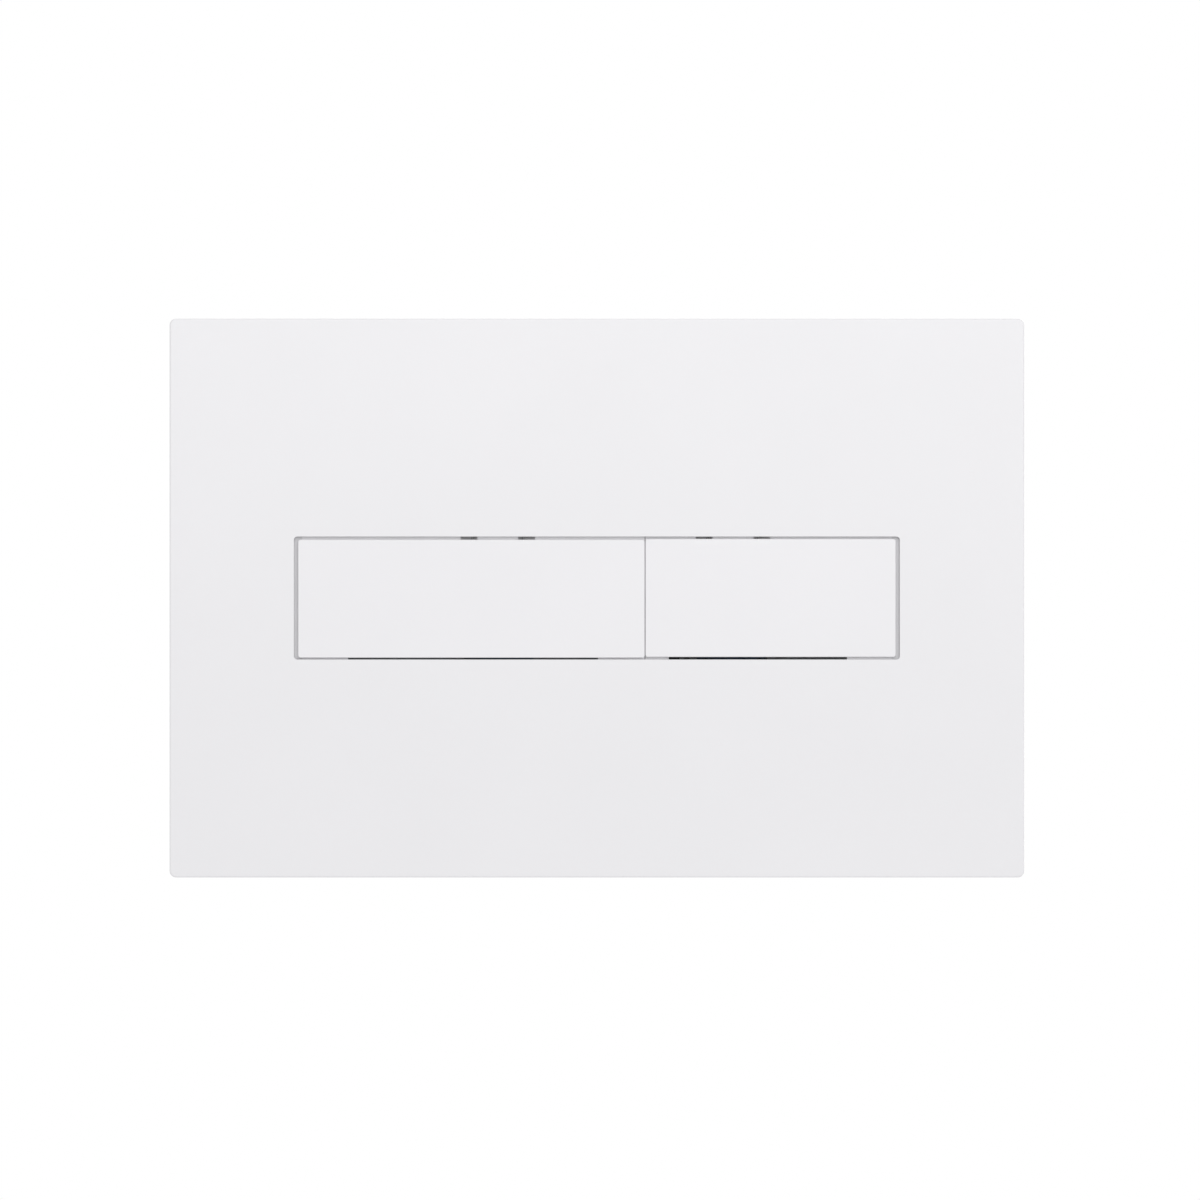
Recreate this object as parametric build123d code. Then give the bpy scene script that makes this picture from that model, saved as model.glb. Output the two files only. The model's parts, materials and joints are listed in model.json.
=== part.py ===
from build123d import *
from math import cos, pi, radians, sin, sqrt
import os

# Dual flush button plate for a concealed cistern, hung on a wall. All sizes are in millimetres.
# The origin is the centre of the cover's back rim, on the wall surface.
# X runs to the right, Y runs into the wall and Z runs up. The face looks towards -Y.

os.makedirs("parts", exist_ok=True)

# Cover plate
plate_width = 260.0
plate_height = 170.0
plate_depth = 12.0
plate_corner = 2.0
plate_edge_round = 0.5
face_wall = 2.6
rim_wall = 2.2
lip_wall = 1.05

# How far every rib, boss and post runs into the wall that it stands on
feature_root = 0.5

# How far every cut runs past what it opens, and how near a plane an edge has to be to be picked
cut_past = 1.0
pick_reach = 0.01

# Window for the two buttons, and the gaps seen around them
window_side_margin = 37.85
window_height = 37.4
window_corner = 1.1
side_gap = 1.25
full_top_gap = 0.95
full_bottom_gap = 0.55
half_top_gap = 0.72
divider_gap = 0.18
divider_x = 14.65

# Buttons
button_corner = 0.75
button_edge_chamfer = 0.15
button_face = 2.2
skirt_wall = 1.6
skirt_depth = 7.0
flange_wall = 1.4
flange_lap = 1.3
flange_top_lap = 0.2
flange_gap = 0.2
flange_play = 0.5
flange_top_play = 0.25
flange_corner = 1.5
button_rib_wall = 1.2
button_rib_height = 3.0
button_rib_pitch = 15.0
button_cross_rib_z = 4.0
press_angle = 8.0

# Cut-outs in the button flanges, which show as dark stretches in the gaps. Insets are from a button's ends
full_slot_insets = (15.2, 14.26)
half_slot_insets = (7.16, 14.8)
spring_notch_width = 5.0
shelf_wall = 1.4
shelf_lap = 0.6
shelf_play = 0.15
shelf_leg_room = 0.3

# Hinges along the buttons' top edges
hinge_depth = 5.0
hinge_rise = 2.5
hinge_rod_radius = 1.0
ear_play = 0.03
knuckle_play = 0.06
knuckle_wall = 0.9
knuckle_width = 6.0
knuckle_arm_wall = 2.6
ear_width = 1.6
ear_gap = 0.3
ear_rear = 2.2
knuckle_inset = 8.9
rod_end_play = 0.3
rod_entry_play = 0.3

# Torsion springs on the hinge rods, one each side of the middle knuckles
torsion_offset = 8.75
torsion_wire = 0.6
torsion_bore_play = 0.35
torsion_turns = 2
torsion_pitch = 0.9
torsion_turn_sides = 12
torsion_lower_leg = 11.5
torsion_upper_leg = 2.9
spring_seat_play = 0.05
spring_seat_width = 3.4
spring_seat_length = 4.0

# Collar behind the window, ribs, standoffs and hooks on the cover's back
collar_wall = 1.6
collar_side_room = 1.1
collar_bottom_room = 1.2
collar_top_room = 3.5
collar_height = 6.0
cover_rib_wall = 1.2
cover_rib_height = 3.0
cover_rib_row_inset = 39.0
cover_rib_column_inset = 18.0
cover_rib_columns = (-60.0, 0.0, 60.0)
standoff_inset = 5.5
standoff_span = 9.0
standoff_wall = 1.6
standoff_seat_gap = 0.1
hook_columns = (-66.0, 0.0, 66.0)
hook_width = 10.0
hook_wall = 1.8
hook_wall_gap = 0.4
hook_reach = 6.5
hook_barb_start = 3.0
hook_barb_top = 1.2
hook_barb_height = 1.4
hook_gusset = 4.0
hook_gusset_wall = 1.2

# Press bosses behind the buttons, and the rods that they push
full_rod_x = -30.15
half_rod_x = 41.4
rod_z = -8.0
boss_width = 7.2
boss_fin_radius = 6.5
boss_fin_wall = 1.2
boss_fin_height = 5.0
nose_radius = 5.0
cap_gap = 0.1
cap_flats = 14.0
cap_head = 2.5
cap_hub_flats = 7.6
cap_hub_length = 6.4
cap_floor = 1.1
rod_radius = 3.0
rod_thread_play = 0.03
rod_thread_rear = 60.0
rod_end_radius = 2.7
rod_reach = 85.0

# Rod guides, which clip into the mounting frame, and the springs inside them
guide_bore_play = 0.08
guide_cup_width = 15.6
guide_cup_wall = 1.6
guide_floor = 2.4
guide_front_room = 0.6
guide_cup_rear = 19.6
guide_tube_width = 10.0
guide_tube_rear = 26.0
guide_flange_width = 21.2
guide_flange_wall = 1.6
guide_fit = 0.15
guide_clip_rise = 0.9
guide_clip_length = 3.0
guide_clip_width = 6.0
coil_wire = 0.9
coil_bore_room = 0.4
coil_turns = 4.5
coil_turn_sides = 12
coil_seat_play = 0.05

# Mounting frame, a moulded tray that sinks into the wall opening
tray_side_room = 19.8
tray_top_room = 9.8
tray_wall = 2.2
tray_corner = 6.0
tray_rear = 12.0
tray_floor = 2.4
tray_flange_width = 9.0
tray_flange_wall = 2.5
tray_flange_corner = 5.0
band_top = 26.0
band_bottom = -28.0
opening_margin = 9.0
opening_corner = 4.0
mullion_half_width = 5.0
tray_rib_wall = 1.6
tray_rib_height = 4.0
catch_side_play = 0.6
catch_play = 0.3
socket_wall = 2.4
socket_height = 3.4

# Fixing bolts, which go through slots in the tray and hold it to the cistern
bolt_inset = 13.0
bolt_slot_length = 14.0
bolt_pad_width = 24.0
bolt_pad_height = 16.0
bolt_pad_rise = 1.2
bolt_radius = 3.0
bolt_neck_radius = 2.7
bolt_neck_rear = 1.0
bolt_slot_play = 0.5
bolt_slot_end_flat = 0.01
bolt_reach = 70.0
bolt_head_flats = 10.0
bolt_head_height = 4.0
bolt_driver_width = 1.6
bolt_driver_depth = 1.8
washer_size = (18.0, 14.0)
washer_wall = 1.2
washer_play = 0.2

# Rubber buffers that stop the pressed buttons
buffer_inset = 7.5
buffer_width = 6.0
buffer_height = 2.0
buffer_gap = 0.15
buffer_stem_width = 3.0
buffer_stem_length = 3.0
buffer_stem_play = 0.05
buffer_post_width = 8.4

# Planes and edges that several pieces share
front_y = -plate_depth
face_back_y = front_y + face_wall
face_root_y = face_back_y - feature_root
lip_back_y = front_y + lip_wall
window_top = window_height / 2
window_side = plate_width / 2 - window_side_margin
button_height = window_height - full_top_gap - full_bottom_gap
full_span = (-window_side + side_gap, divider_x - divider_gap / 2)
half_span = (divider_x + divider_gap / 2, window_side - side_gap)
full_slot = (full_span[0] + full_slot_insets[0], full_span[1] - full_slot_insets[1])
half_slot = (half_span[0] + half_slot_insets[0], half_span[1] - half_slot_insets[1])
full_knuckles = (full_span[0] + knuckle_inset, full_rod_x, full_span[1] - knuckle_inset)
half_knuckles = (half_span[0] + knuckle_inset, half_rod_x, half_span[1] - knuckle_inset)
full_top = window_top - full_top_gap
half_top = window_top - half_top_gap
button_back_y = front_y + button_face
button_root_y = button_back_y - feature_root
skirt_back_y = front_y + skirt_depth
flange_y = (lip_back_y + flange_gap, lip_back_y + flange_gap + flange_wall)
flange_z = (-window_top - flange_lap, window_top + flange_top_lap)
hinge_y = front_y + hinge_depth
hinge_z = window_top + hinge_rise
knuckle_radius = hinge_rod_radius + knuckle_play + knuckle_wall
torsion_radius = hinge_rod_radius + torsion_bore_play + torsion_wire / 2
torsion_reach = torsion_radius + torsion_wire / sqrt(2)
leg_front_y = hinge_y - torsion_reach
leg_back_y = hinge_y - torsion_radius + torsion_wire / sqrt(2)
shelf_y = (leg_back_y + shelf_leg_room, leg_back_y + shelf_leg_room + shelf_wall)
shelf_top = hinge_z - torsion_reach - shelf_play
collar_side = window_side + flange_lap + collar_side_room
collar_bottom = -window_top - flange_lap - collar_bottom_room
collar_top = hinge_z + collar_top_room
tray_flange_side = plate_width / 2 - rim_wall - tray_side_room
tray_flange_top = plate_height / 2 - rim_wall - tray_top_room
tray_side = tray_flange_side - tray_flange_width
tray_top = tray_flange_top - tray_flange_width
tray_inner_side = tray_side - tray_wall
tray_inner_top = tray_top - tray_wall
bolt_x = tray_side - bolt_inset
floor_front_y = tray_rear - tray_floor
nose_y = hinge_y + nose_radius
press_arm = hinge_z - rod_z
press_travel = press_arm * radians(press_angle)
cap_front_y = nose_y + cap_gap
cap_back_y = cap_front_y + cap_head
guide_front_y = cap_back_y + press_travel + guide_front_room
guide_floor_y = guide_cup_rear - guide_floor
guide_inner_width = guide_cup_width - 2 * guide_cup_wall


def block(x, y, z):
    """A box between a low and a high value on each axis."""
    size = [high - low for low, high in (x, y, z)]
    centre = [(high + low) / 2 for low, high in (x, y, z)]
    return Pos(*centre) * Box(*size)


def prism(x, z, y, radius=0.0):
    """A rectangle over x and z, its corners rounded, drawn out along y."""
    width, height = x[1] - x[0], z[1] - z[0]
    plane = Plane(
        origin=((x[0] + x[1]) / 2, y[0], (z[0] + z[1]) / 2), x_dir=(1, 0, 0), z_dir=(0, -1, 0)
    )
    outline = RectangleRounded(width, height, radius) if radius else Rectangle(width, height)
    return extrude(plane * outline, amount=y[0] - y[1])


def centred_prism(width, height, y, radius=0.0):
    """A prism centred on the plate's axis."""
    return prism((-width / 2, width / 2), (-height / 2, height / 2), y, radius)


def disc(x, z, radius, y):
    """A cylinder whose axis runs along y."""
    return Pos(x, (y[0] + y[1]) / 2, z) * Rot(90, 0, 0) * Cylinder(radius, y[1] - y[0])


def pin(y, z, radius, x):
    """A cylinder whose axis runs along x."""
    return Pos((x[0] + x[1]) / 2, y, z) * Rot(0, 90, 0) * Cylinder(radius, x[1] - x[0])


def square_prism(x, z, width, y):
    """A square, centred on x and z, drawn out along y."""
    return prism(around(x, width), around(z, width), y)


def hexagon(x, z, flats, y):
    """A hexagon of a given width across its flats, drawn out along y."""
    plane = Plane(origin=(x, y[0], z), x_dir=(1, 0, 0), z_dir=(0, 1, 0))
    return extrude(plane * RegularPolygon(flats / 2, 6, major_radius=False), amount=y[1] - y[0])


def side_profile(points, x):
    """A closed outline of (y, z) points, drawn out along x."""
    outline = make_face(Polyline(*points, close=True))
    return extrude(Plane.YZ.offset(x[0]) * outline, amount=x[1] - x[0])


def edges_at(shape, y):
    """The edges of a shape that lie in one plane across y."""
    return shape.edges().filter_by_position(Axis.Y, y - pick_reach, y + pick_reach)


def around(centre, width):
    """The low and high value of a span about its centre."""
    return (centre - width / 2, centre + width / 2)


def hinge_ears(knuckles):
    """The ears that carry one hinge rod: outside the end knuckles, and on both sides of the middle one."""
    offset = knuckle_width / 2 + ear_gap + ear_width / 2
    left, middle, right = knuckles
    y = (face_root_y, hinge_y + ear_rear)
    z = (hinge_z - hinge_rod_radius - ear_play - knuckle_wall, collar_top + feature_root)
    places = (left - offset, middle - offset, middle + offset, right + offset)
    return [block(around(place, ear_width), y, z) for place in places]


def spring_stations(knuckles):
    """Where the two torsion springs of a button stand, each side of its middle knuckle."""
    return (knuckles[1] - torsion_offset, knuckles[1] + torsion_offset)


def upper_spring_seat(x):
    """The pad on the cover that a torsion spring's short leg bears on."""
    return block(
        around(x, spring_seat_width),
        (face_root_y, leg_front_y - spring_seat_play),
        (hinge_z + torsion_radius, collar_top + feature_root),
    )


def cover_hook(x):
    """A snap hook at the cover's top, with its barb upwards and two gussets at its root."""
    outer = tray_inner_top - hook_wall_gap
    inner = outer - hook_wall
    tip = hook_barb_start + hook_barb_top
    arm = side_profile(
        (
            (face_root_y, inner),
            (hook_reach, inner),
            (hook_reach, outer),
            (tip, outer + hook_barb_height),
            (hook_barb_start, outer + hook_barb_height),
            (hook_barb_start, outer),
            (face_root_y, outer),
        ),
        around(x, hook_width),
    )
    for side in (-1, 1):
        place = x + side * (hook_width - hook_gusset_wall) / 2
        arm += side_profile(
            (
                (face_root_y, inner + feature_root),
                (face_root_y, inner - hook_gusset),
                (face_back_y, inner - hook_gusset),
                (face_back_y + hook_gusset, inner),
                (face_back_y + hook_gusset, inner + feature_root),
            ),
            around(place, hook_gusset_wall),
        )
    return arm


def cover_ribs():
    """The low lattice that stiffens the cover's face outside the collar."""
    y = (face_root_y, face_back_y + cover_rib_height)
    inner_x = plate_width / 2 - rim_wall + feature_root
    inner_z = plate_height / 2 - rim_wall + feature_root
    row = plate_height / 2 - cover_rib_row_inset
    column = plate_width / 2 - cover_rib_column_inset
    ribs = [block((-inner_x, inner_x), y, around(z, cover_rib_wall)) for z in (-row, row)]
    for x in (-column, *cover_rib_columns, column):
        span = around(x, cover_rib_wall)
        if abs(x) > collar_side:
            ribs.append(block(span, y, (-inner_z, inner_z)))
        else:
            ribs.append(block(span, y, (collar_top + feature_root, inner_z)))
            ribs.append(block(span, y, (-inner_z, collar_bottom - feature_root)))
    return ribs


def cover_standoffs():
    """Crosses at the corners that seat the cover on the mounting frame's flange."""
    y = (face_root_y, -tray_flange_wall - standoff_seat_gap)
    column = tray_flange_side - standoff_inset
    row = tray_flange_top - standoff_inset
    crosses = []
    for x in (-column, column):
        for z in (-row, row):
            crosses.append(block(around(x, standoff_span), y, around(z, standoff_wall)))
            crosses.append(block(around(x, standoff_wall), y, around(z, standoff_span)))
    return crosses


def front_plate():
    """The moulded cover: a face with a turned-back rim, and all that stands on its back."""
    cover = centred_prism(plate_width, plate_height, (front_y, 0), plate_corner)
    cover = fillet(edges_at(cover, front_y), plate_edge_round)
    cover -= centred_prism(
        plate_width - 2 * rim_wall, plate_height - 2 * rim_wall, (face_back_y, cut_past)
    )
    window_y = (front_y - cut_past, face_back_y + cut_past)
    cover -= centred_prism(2 * window_side, window_height, window_y, window_corner)
    cover -= prism(
        (-window_side - flange_lap - flange_play, window_side + flange_lap + flange_play),
        (flange_z[0] - flange_play, flange_z[1] + flange_top_play),
        (lip_back_y, face_back_y + cut_past),
    )

    collar_y = (face_root_y, face_back_y + collar_height)
    collar = prism(
        (-collar_side - collar_wall, collar_side + collar_wall),
        (collar_bottom - collar_wall, collar_top + collar_wall),
        collar_y,
    )
    room = prism((-collar_side, collar_side), (collar_bottom, collar_top), collar_y)
    cover += collar - room
    cover += cover_ribs() + cover_standoffs()

    hooks = [cover_hook(x) for x in hook_columns]
    cover += hooks + [mirror(hook, about=Plane.XY) for hook in hooks]

    for knuckles in (full_knuckles, half_knuckles):
        cover += hinge_ears(knuckles)
        cover += [upper_spring_seat(x) for x in spring_stations(knuckles)]
    cover -= pin(hinge_y, hinge_z, hinge_rod_radius + ear_play, (-collar_side, collar_side))
    entry = hinge_rod_radius + rod_entry_play
    for side in (-1, 1):
        end = sorted((side * (collar_side - cut_past), side * (collar_side + collar_wall + cut_past)))
        cover -= block(end, (hinge_y - entry, collar_y[1] + cut_past), around(hinge_z, 2 * entry))
    return cover


def press_boss(x):
    """The post behind a button that pushes its rod, with a nose rounded about the hinge's depth."""
    low, high = around(rod_z, boss_width)
    shoulder = hinge_y + sqrt(nose_radius**2 - (boss_width / 2) ** 2)
    sides = Polyline((shoulder, high), (button_root_y, high), (button_root_y, low), (shoulder, low))
    nose = ThreePointArc((shoulder, low), (nose_y, rod_z), (shoulder, high))
    outline = make_face([sides, nose])
    boss = extrude(Plane.YZ.offset(x - boss_width / 2) * outline, amount=boss_width)
    fin_y = (button_root_y, button_back_y + boss_fin_height)
    boss += block(around(x, 2 * boss_fin_radius), fin_y, around(rod_z, boss_fin_wall))
    boss += block(around(x, boss_fin_wall), fin_y, around(rod_z, 2 * boss_fin_radius))
    return boss


def knuckle(x, top):
    """A button's hinge knuckle with the arm that joins it to the top skirt."""
    span = around(x, knuckle_width)
    arm = block(span, around(hinge_y, knuckle_arm_wall), (top - skirt_wall + feature_root, hinge_z))
    return arm + pin(hinge_y, hinge_z, knuckle_radius, span)


def button_flange(x, outer_side):
    """The flange behind the cover's window edge, on every side but the one next to the other button."""
    reach = side_gap + flange_lap
    low = x[0] - (reach if outer_side < 0 else 0)
    high = x[1] + (reach if outer_side > 0 else 0)
    flange = prism((low, high), flange_z, flange_y)
    corner_x = low if outer_side < 0 else high
    corners = [
        e for e in flange.edges().filter_by(Axis.Y) if abs(e.center().X - corner_x) < pick_reach
    ]
    return fillet(corners, flange_corner)


def button_ribs(x, bottom, rod_x):
    """A long rib under the spring seats and short ribs from it down to the bottom skirt."""
    y = (button_root_y, button_back_y + button_rib_height)
    inner = (x[0] + skirt_wall - feature_root, x[1] - skirt_wall + feature_root)
    foot = bottom + skirt_wall - feature_root
    ribs = [block(inner, y, around(button_cross_rib_z, button_rib_wall))]
    count = int((inner[1] - inner[0]) / button_rib_pitch)
    step = (inner[1] - inner[0]) / count
    for index in range(1, count):
        place = inner[0] + index * step
        if abs(place - rod_x) > boss_width / 2 + button_rib_wall:
            ribs.append(block(around(place, button_rib_wall), y, (foot, button_cross_rib_z)))
    return ribs


def spring_pocket(place, top):
    """What is cut from a button round a spring's long leg, and the shelf that closes it behind."""
    notch = around(place, spring_notch_width)
    cut = [
        block(notch, (flange_y[0] - cut_past, button_back_y + cut_past), (top, flange_z[1] + cut_past)),
        block(notch, (button_back_y, shelf_y[0]), (top - skirt_wall - cut_past, flange_z[1] + cut_past)),
    ]
    span = around(place, spring_notch_width + 2 * shelf_lap)
    return cut, block(span, shelf_y, (top - feature_root, shelf_top))


def spring_seat(place):
    """The pad behind a button that a torsion spring's long leg presses on."""
    foot = hinge_z - torsion_lower_leg
    y = (button_root_y, leg_front_y - spring_seat_play)
    return block(around(place, spring_seat_width), y, (foot, foot + spring_seat_length))


def flush_button(x, top, outer_side, knuckles, bottom_slot, rod_x):
    """One button: a shell with a flange, cut-outs, hinge knuckles, spring seats, ribs and boss."""
    z = (top - button_height, top)
    shell = prism(x, z, (front_y, skirt_back_y), button_corner)
    shell = chamfer(edges_at(shell, front_y), button_edge_chamfer)
    shell += button_flange(x, outer_side)
    inside_x = (x[0] + skirt_wall, x[1] - skirt_wall)
    inside_z = (z[0] + skirt_wall, z[1] - skirt_wall)
    shell -= prism(inside_x, inside_z, (button_back_y, skirt_back_y + cut_past))
    shell += [knuckle(place, top) for place in knuckles]
    shell += button_ribs(x, z[0], rod_x)
    shell += press_boss(rod_x)

    slot_y = (flange_y[0] - cut_past, flange_y[1] + cut_past)
    shell -= block(bottom_slot, slot_y, (flange_z[0] - cut_past, z[0]))
    for place in spring_stations(knuckles):
        cut, shelf = spring_pocket(place, top)
        shell = shell - cut + [shelf, spring_seat(place)]
    bore = (x[0] - side_gap, x[1] + side_gap)
    shell -= pin(hinge_y, hinge_z, hinge_rod_radius + knuckle_play, bore)
    return shell


def hinge_rod(knuckles, outer_side):
    """The steel rod of one button, from the collar's side to past the last ear."""
    past_ear = knuckle_width / 2 + ear_gap + ear_width + rod_end_play
    if outer_side < 0:
        x = (-collar_side + rod_end_play, knuckles[-1] + past_ear)
    else:
        x = (knuckles[0] - past_ear, collar_side - rod_end_play)
    return pin(hinge_y, hinge_z, hinge_rod_radius, x)


def coil_points(radius, pitch, turns, sides):
    """Points along a coil about Z, so many to each turn."""
    steps = range(round(turns * sides) + 1)
    turn = 2 * pi / sides
    return [(radius * cos(i * turn), radius * sin(i * turn), i * pitch / sides) for i in steps]


def square_wire(points, wire):
    """A square wire bent through points, which keeps a spring's faces few."""
    path = Polyline(*points)
    start = Plane(origin=points[0], x_dir=(1, 0, 0), z_dir=path % 0)
    return sweep(start * Rectangle(wire, wire), path=path, transition=Transition.RIGHT)


def torsion_spring(x, hand):
    """A torsion spring about the hinge axis. Both legs leave the coil at its front."""
    length = torsion_turns * torsion_pitch
    coil = coil_points(torsion_radius, torsion_pitch, torsion_turns, torsion_turn_sides)
    upper_end = (torsion_radius, -torsion_upper_leg, 0)
    lower_end = (torsion_radius, torsion_lower_leg, length)
    wire = square_wire([upper_end, *coil, lower_end], torsion_wire)
    place = Plane(origin=(-length / 2, hinge_y, hinge_z), x_dir=(0, -1, 0), z_dir=(1, 0, 0))
    spring = place.location * wire
    if hand < 0:
        spring = mirror(spring, about=Plane.YZ)
    return Pos(x, 0, 0) * spring


def rod_cap(x):
    """The press cap: a hexagonal head that a button pushes, and a hub that screws onto the rod."""
    hub_rear = cap_back_y + cap_hub_length
    cap = hexagon(x, rod_z, cap_flats, (cap_front_y, cap_back_y))
    cap += hexagon(x, rod_z, cap_hub_flats, (cap_back_y - feature_root, hub_rear))
    hole_y = (cap_front_y + cap_floor, hub_rear + cut_past)
    return cap - disc(x, rod_z, rod_radius + rod_thread_play, hole_y)


def push_rod(x):
    """The long screwed rod, with the plain end that pushes on the flush valve."""
    end = disc(x, rod_z, rod_end_radius, (rod_thread_rear - feature_root, rod_reach))
    return disc(x, rod_z, rod_radius, (cap_front_y + cap_floor + cap_gap, rod_thread_rear)) + end


def guide_clip(x, side):
    """A wedge on a guide's cup that snaps behind the tray's floor."""
    wall = rod_z + side * guide_cup_width / 2
    root = wall - side * feature_root
    front = tray_rear + guide_fit
    tip = wall + side * guide_clip_rise
    back = front + guide_clip_length
    outline = ((front, root), (front, tip), (back, wall), (back, root))
    return side_profile(outline, around(x, guide_clip_width))


def rod_guide(x):
    """The square cup that holds the coil spring, with its flange, guide tube and two clips."""
    guide = square_prism(x, rod_z, guide_cup_width, (guide_front_y, guide_cup_rear))
    guide += square_prism(x, rod_z, guide_flange_width, (floor_front_y - guide_flange_wall, floor_front_y))
    guide += square_prism(x, rod_z, guide_tube_width, (guide_floor_y + feature_root, guide_tube_rear))
    guide += [guide_clip(x, side) for side in (-1, 1)]
    guide -= square_prism(x, rod_z, guide_inner_width, (guide_front_y - cut_past, guide_floor_y))
    bore = rod_radius + guide_bore_play
    return guide - disc(x, rod_z, bore, (guide_floor_y - cut_past, guide_tube_rear + cut_past))


def coil_spring(x):
    """The compression spring between the cap and the guide's floor."""
    radius = guide_inner_width / 2 - coil_bore_room - coil_wire / 2
    end = coil_seat_play + coil_wire / sqrt(2)
    y = (cap_back_y + end, guide_floor_y - end)
    coil = coil_points(radius, (y[1] - y[0]) / coil_turns, coil_turns, coil_turn_sides)
    place = Plane(origin=(x, y[0], rod_z), x_dir=(1, 0, 0), z_dir=(0, 1, 0))
    return place.location * square_wire(coil, coil_wire)


def tray_openings():
    """The x and z spans of the four openings in the tray's floor."""
    side = tray_inner_side - opening_margin
    top = tray_inner_top - opening_margin
    columns = ((-side, -mullion_half_width), (mullion_half_width, side))
    rows = ((band_top, top), (-top, band_bottom))
    return [(x, z) for x in columns for z in rows]


def buffer_spots():
    """The x of each of the four buffers, under its button's bottom corner, and that button's bottom."""
    spots = []
    for x, top in ((full_span, full_top), (half_span, half_top)):
        bottom = top - button_height
        spots += [(x[0] + buffer_inset, bottom), (x[1] - buffer_inset, bottom)]
    return spots


def buffer_front_y(bottom):
    """Where a buffer starts, just behind the bottom skirt of the fully pressed button."""
    turn = radians(press_angle)
    below, behind = hinge_z - bottom, skirt_back_y - hinge_y
    return hinge_y + behind * cos(turn) + below * sin(turn) + buffer_gap


def mounting_frame():
    """The tray with its wall flange, openings, catches, sockets, bolt pads and buffer posts."""
    inner = (2 * tray_inner_side, 2 * tray_inner_top)
    flange_size = (2 * tray_flange_side, 2 * tray_flange_top)
    frame = centred_prism(2 * tray_side, 2 * tray_top, (-tray_flange_wall, tray_rear), tray_corner)
    frame += centred_prism(*flange_size, (-tray_flange_wall, 0), tray_flange_corner)
    hollow_y = (-tray_flange_wall - cut_past, floor_front_y)
    frame -= centred_prism(*inner, hollow_y, tray_corner - tray_wall)
    through_y = (floor_front_y - cut_past, tray_rear + cut_past)
    for x, z in tray_openings():
        frame -= prism(x, z, through_y, opening_corner)

    rib_y = (tray_rear - feature_root, tray_rear + tray_rib_height)
    rib_x = (-tray_inner_side, tray_inner_side)
    for edge in (band_top - tray_rib_wall, band_bottom + tray_rib_wall):
        frame += block(rib_x, rib_y, around(edge, tray_rib_wall))
    for x in (-mullion_half_width + tray_rib_wall, mullion_half_width - tray_rib_wall):
        frame += block(around(x, tray_rib_wall), rib_y, (band_top, tray_inner_top))
        frame += block(around(x, tray_rib_wall), rib_y, (-tray_inner_top, band_bottom))

    catch_y = (hook_barb_start - catch_play, hook_reach + catch_play)
    for x in hook_columns:
        span = around(x, hook_width + 2 * catch_side_play)
        for side in (-1, 1):
            z = sorted((side * (tray_inner_top - cut_past), side * (tray_top + cut_past)))
            frame -= block(span, catch_y, z)

    for x in (full_rod_x, half_rod_x):
        socket_front = floor_front_y - guide_flange_wall - socket_height
        room = guide_flange_width + 2 * guide_fit
        hole = guide_cup_width + 2 * guide_fit
        socket_y = (socket_front, floor_front_y + feature_root)
        frame += square_prism(x, rod_z, room + 2 * socket_wall, socket_y)
        frame -= square_prism(x, rod_z, room, (socket_front - cut_past, floor_front_y))
        frame -= square_prism(x, rod_z, hole, through_y)

    pad_y = (floor_front_y - bolt_pad_rise, floor_front_y + feature_root)
    slot_radius = bolt_radius + bolt_slot_play
    for x in (-bolt_x, bolt_x):
        pad = prism(around(x, bolt_pad_width), around(0, bolt_pad_height), pad_y)
        frame += pad & centred_prism(*inner, pad_y)
        frame -= prism(
            around(x, bolt_slot_length),
            (-slot_radius, slot_radius),
            (pad_y[0] - cut_past, tray_rear + cut_past),
            slot_radius - bolt_slot_end_flat / 2,
        )

    for x, bottom in buffer_spots():
        z = bottom + skirt_wall / 2
        post_front = buffer_front_y(bottom) + buffer_height
        hole = buffer_stem_width + 2 * buffer_stem_play
        hole_rear = post_front + buffer_stem_length + buffer_stem_play
        frame += square_prism(x, z, buffer_post_width, (post_front, floor_front_y + feature_root))
        frame -= square_prism(x, z, hole, (post_front - cut_past, hole_rear))
    return frame


def fixing_bolt(x):
    """A hexagonal bolt with a driver slot, a thin neck, and a shank as thick as its thread's crests."""
    seat = floor_front_y - bolt_pad_rise - washer_wall
    top = seat - bolt_head_height
    head = hexagon(x, 0, bolt_head_flats, (top, seat))
    slot_x = around(x, 2 * bolt_head_flats)
    slot_y = (top - cut_past, top + bolt_driver_depth)
    head -= block(slot_x, slot_y, around(0, bolt_driver_width))
    neck_rear = tray_rear + bolt_neck_rear
    head += disc(x, 0, bolt_neck_radius, (seat - feature_root, neck_rear + feature_root))
    return head + disc(x, 0, bolt_radius, (neck_rear, bolt_reach))


def washer(x):
    """The oblong washer under a fixing bolt's head, which covers the tray's slot."""
    y = (floor_front_y - bolt_pad_rise - washer_wall, floor_front_y - bolt_pad_rise)
    plate = prism(around(x, washer_size[0]), around(0, washer_size[1]), y)
    return plate - disc(x, 0, bolt_radius + washer_play, (y[0] - cut_past, y[1] + cut_past))


def buffer(x, bottom):
    """A rubber buffer with the stem that holds it in its post."""
    z = bottom + skirt_wall / 2
    front = buffer_front_y(bottom)
    back = front + buffer_height
    stem = square_prism(x, z, buffer_stem_width, (back - feature_root, back + buffer_stem_length))
    return square_prism(x, z, buffer_width, (front, back)) + stem


pieces = {
    "front_plate": front_plate(),
    "mounting_frame": mounting_frame(),
    "full_flush_button": flush_button(
        full_span, full_top, -1, full_knuckles, full_slot, full_rod_x
    ),
    "half_flush_button": flush_button(
        half_span, half_top, 1, half_knuckles, half_slot, half_rod_x
    ),
    "full_hinge_rod": hinge_rod(full_knuckles, -1),
    "half_hinge_rod": hinge_rod(half_knuckles, 1),
    "left_fixing_bolt": fixing_bolt(-bolt_x),
    "right_fixing_bolt": fixing_bolt(bolt_x),
    "left_washer": washer(-bolt_x),
    "right_washer": washer(bolt_x),
}

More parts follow.
